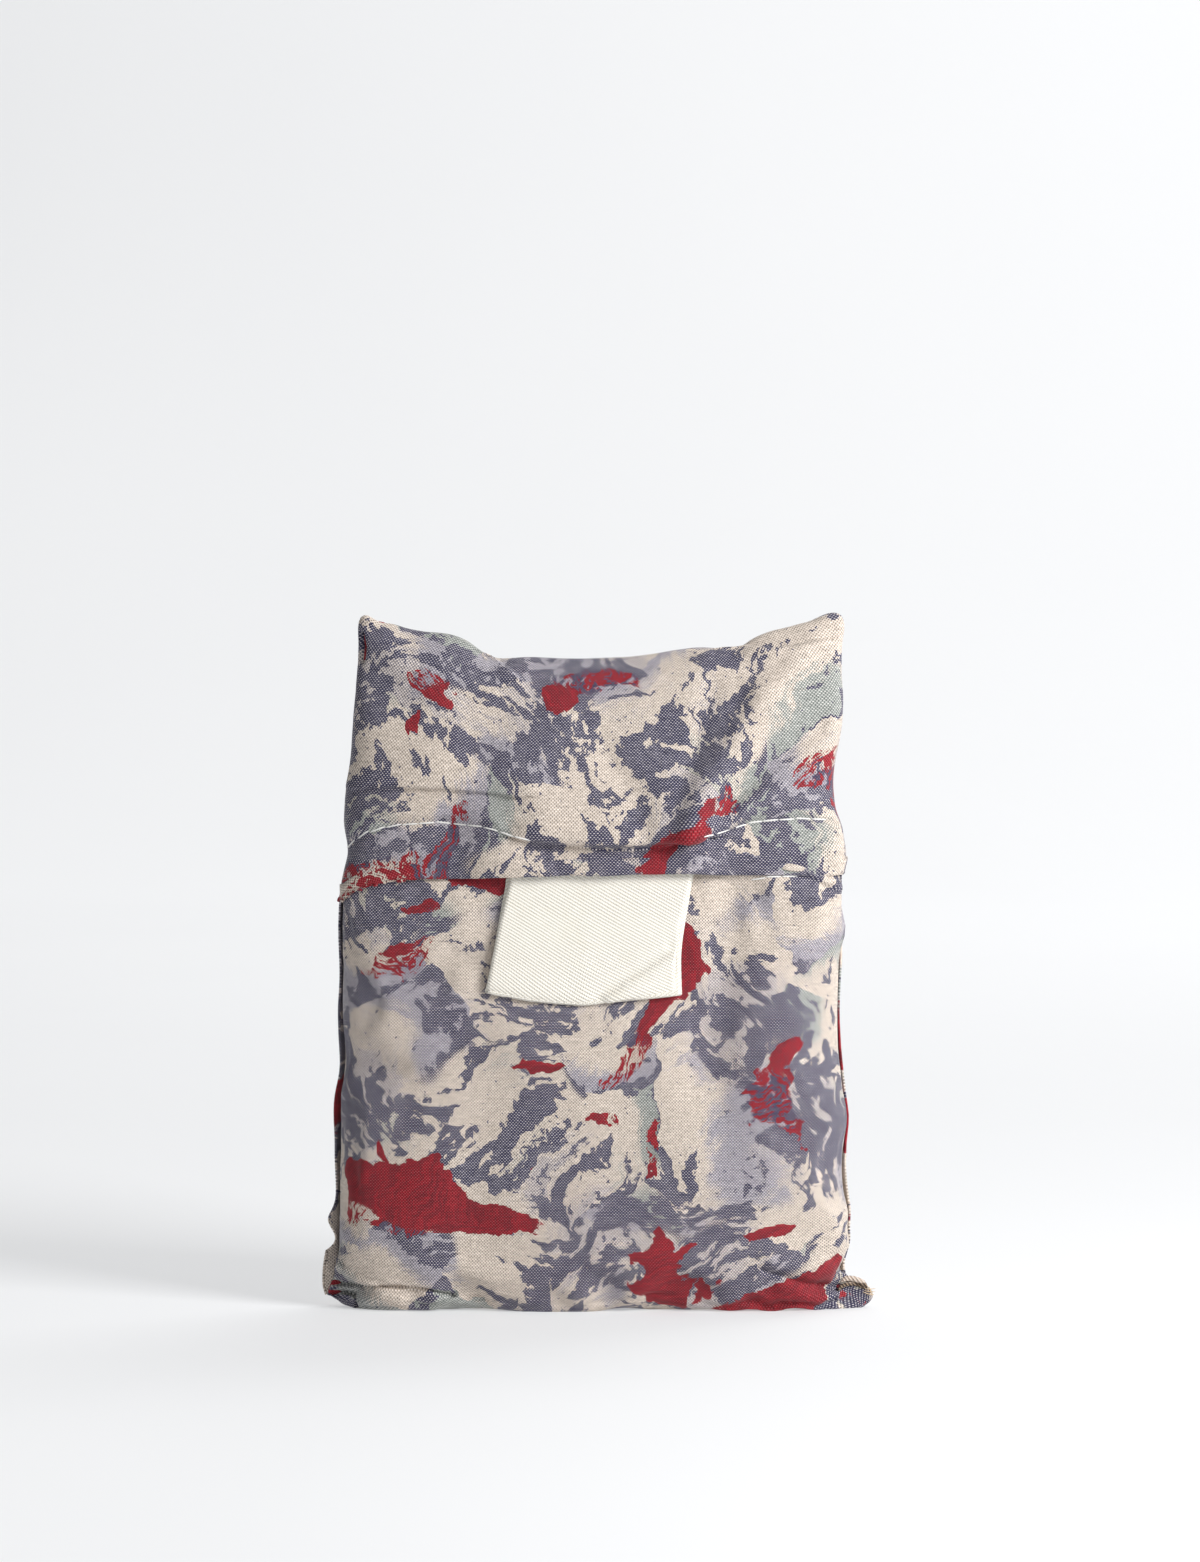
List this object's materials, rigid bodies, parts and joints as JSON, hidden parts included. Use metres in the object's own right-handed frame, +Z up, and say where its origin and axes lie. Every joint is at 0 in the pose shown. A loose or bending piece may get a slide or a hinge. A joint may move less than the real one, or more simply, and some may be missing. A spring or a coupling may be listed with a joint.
{
  "type": "reusable shopping bag folded into its own pouch",
  "caption": "Soft printed-cloth shopping bag packed into its own standing pouch, with a hemmed flap over the front and a folded tape label.",
  "frame": {"origin": "on the floor, under the middle of the object's box", "axes": "+Z up, the front with the flap's hem and the label looks towards -Y, +X to the right seen from the front"},
  "size_m": [0.1406, 0.0324, 0.1782],
  "materials": {
    "pocket_cloth": "coarse plain weave, sand ground with a slate, grey-green and crimson blotch print",
    "flap_cloth": "the same printed cloth, with a white stitched hem",
    "label_tape": "unprinted cream twill tape"
  },
  "bodies": {
    "root": {"filled_pocket": "pocket_cloth", "back_and_flap": "flap_cloth", "label": "label_tape"}
  },
  "joints": []
}
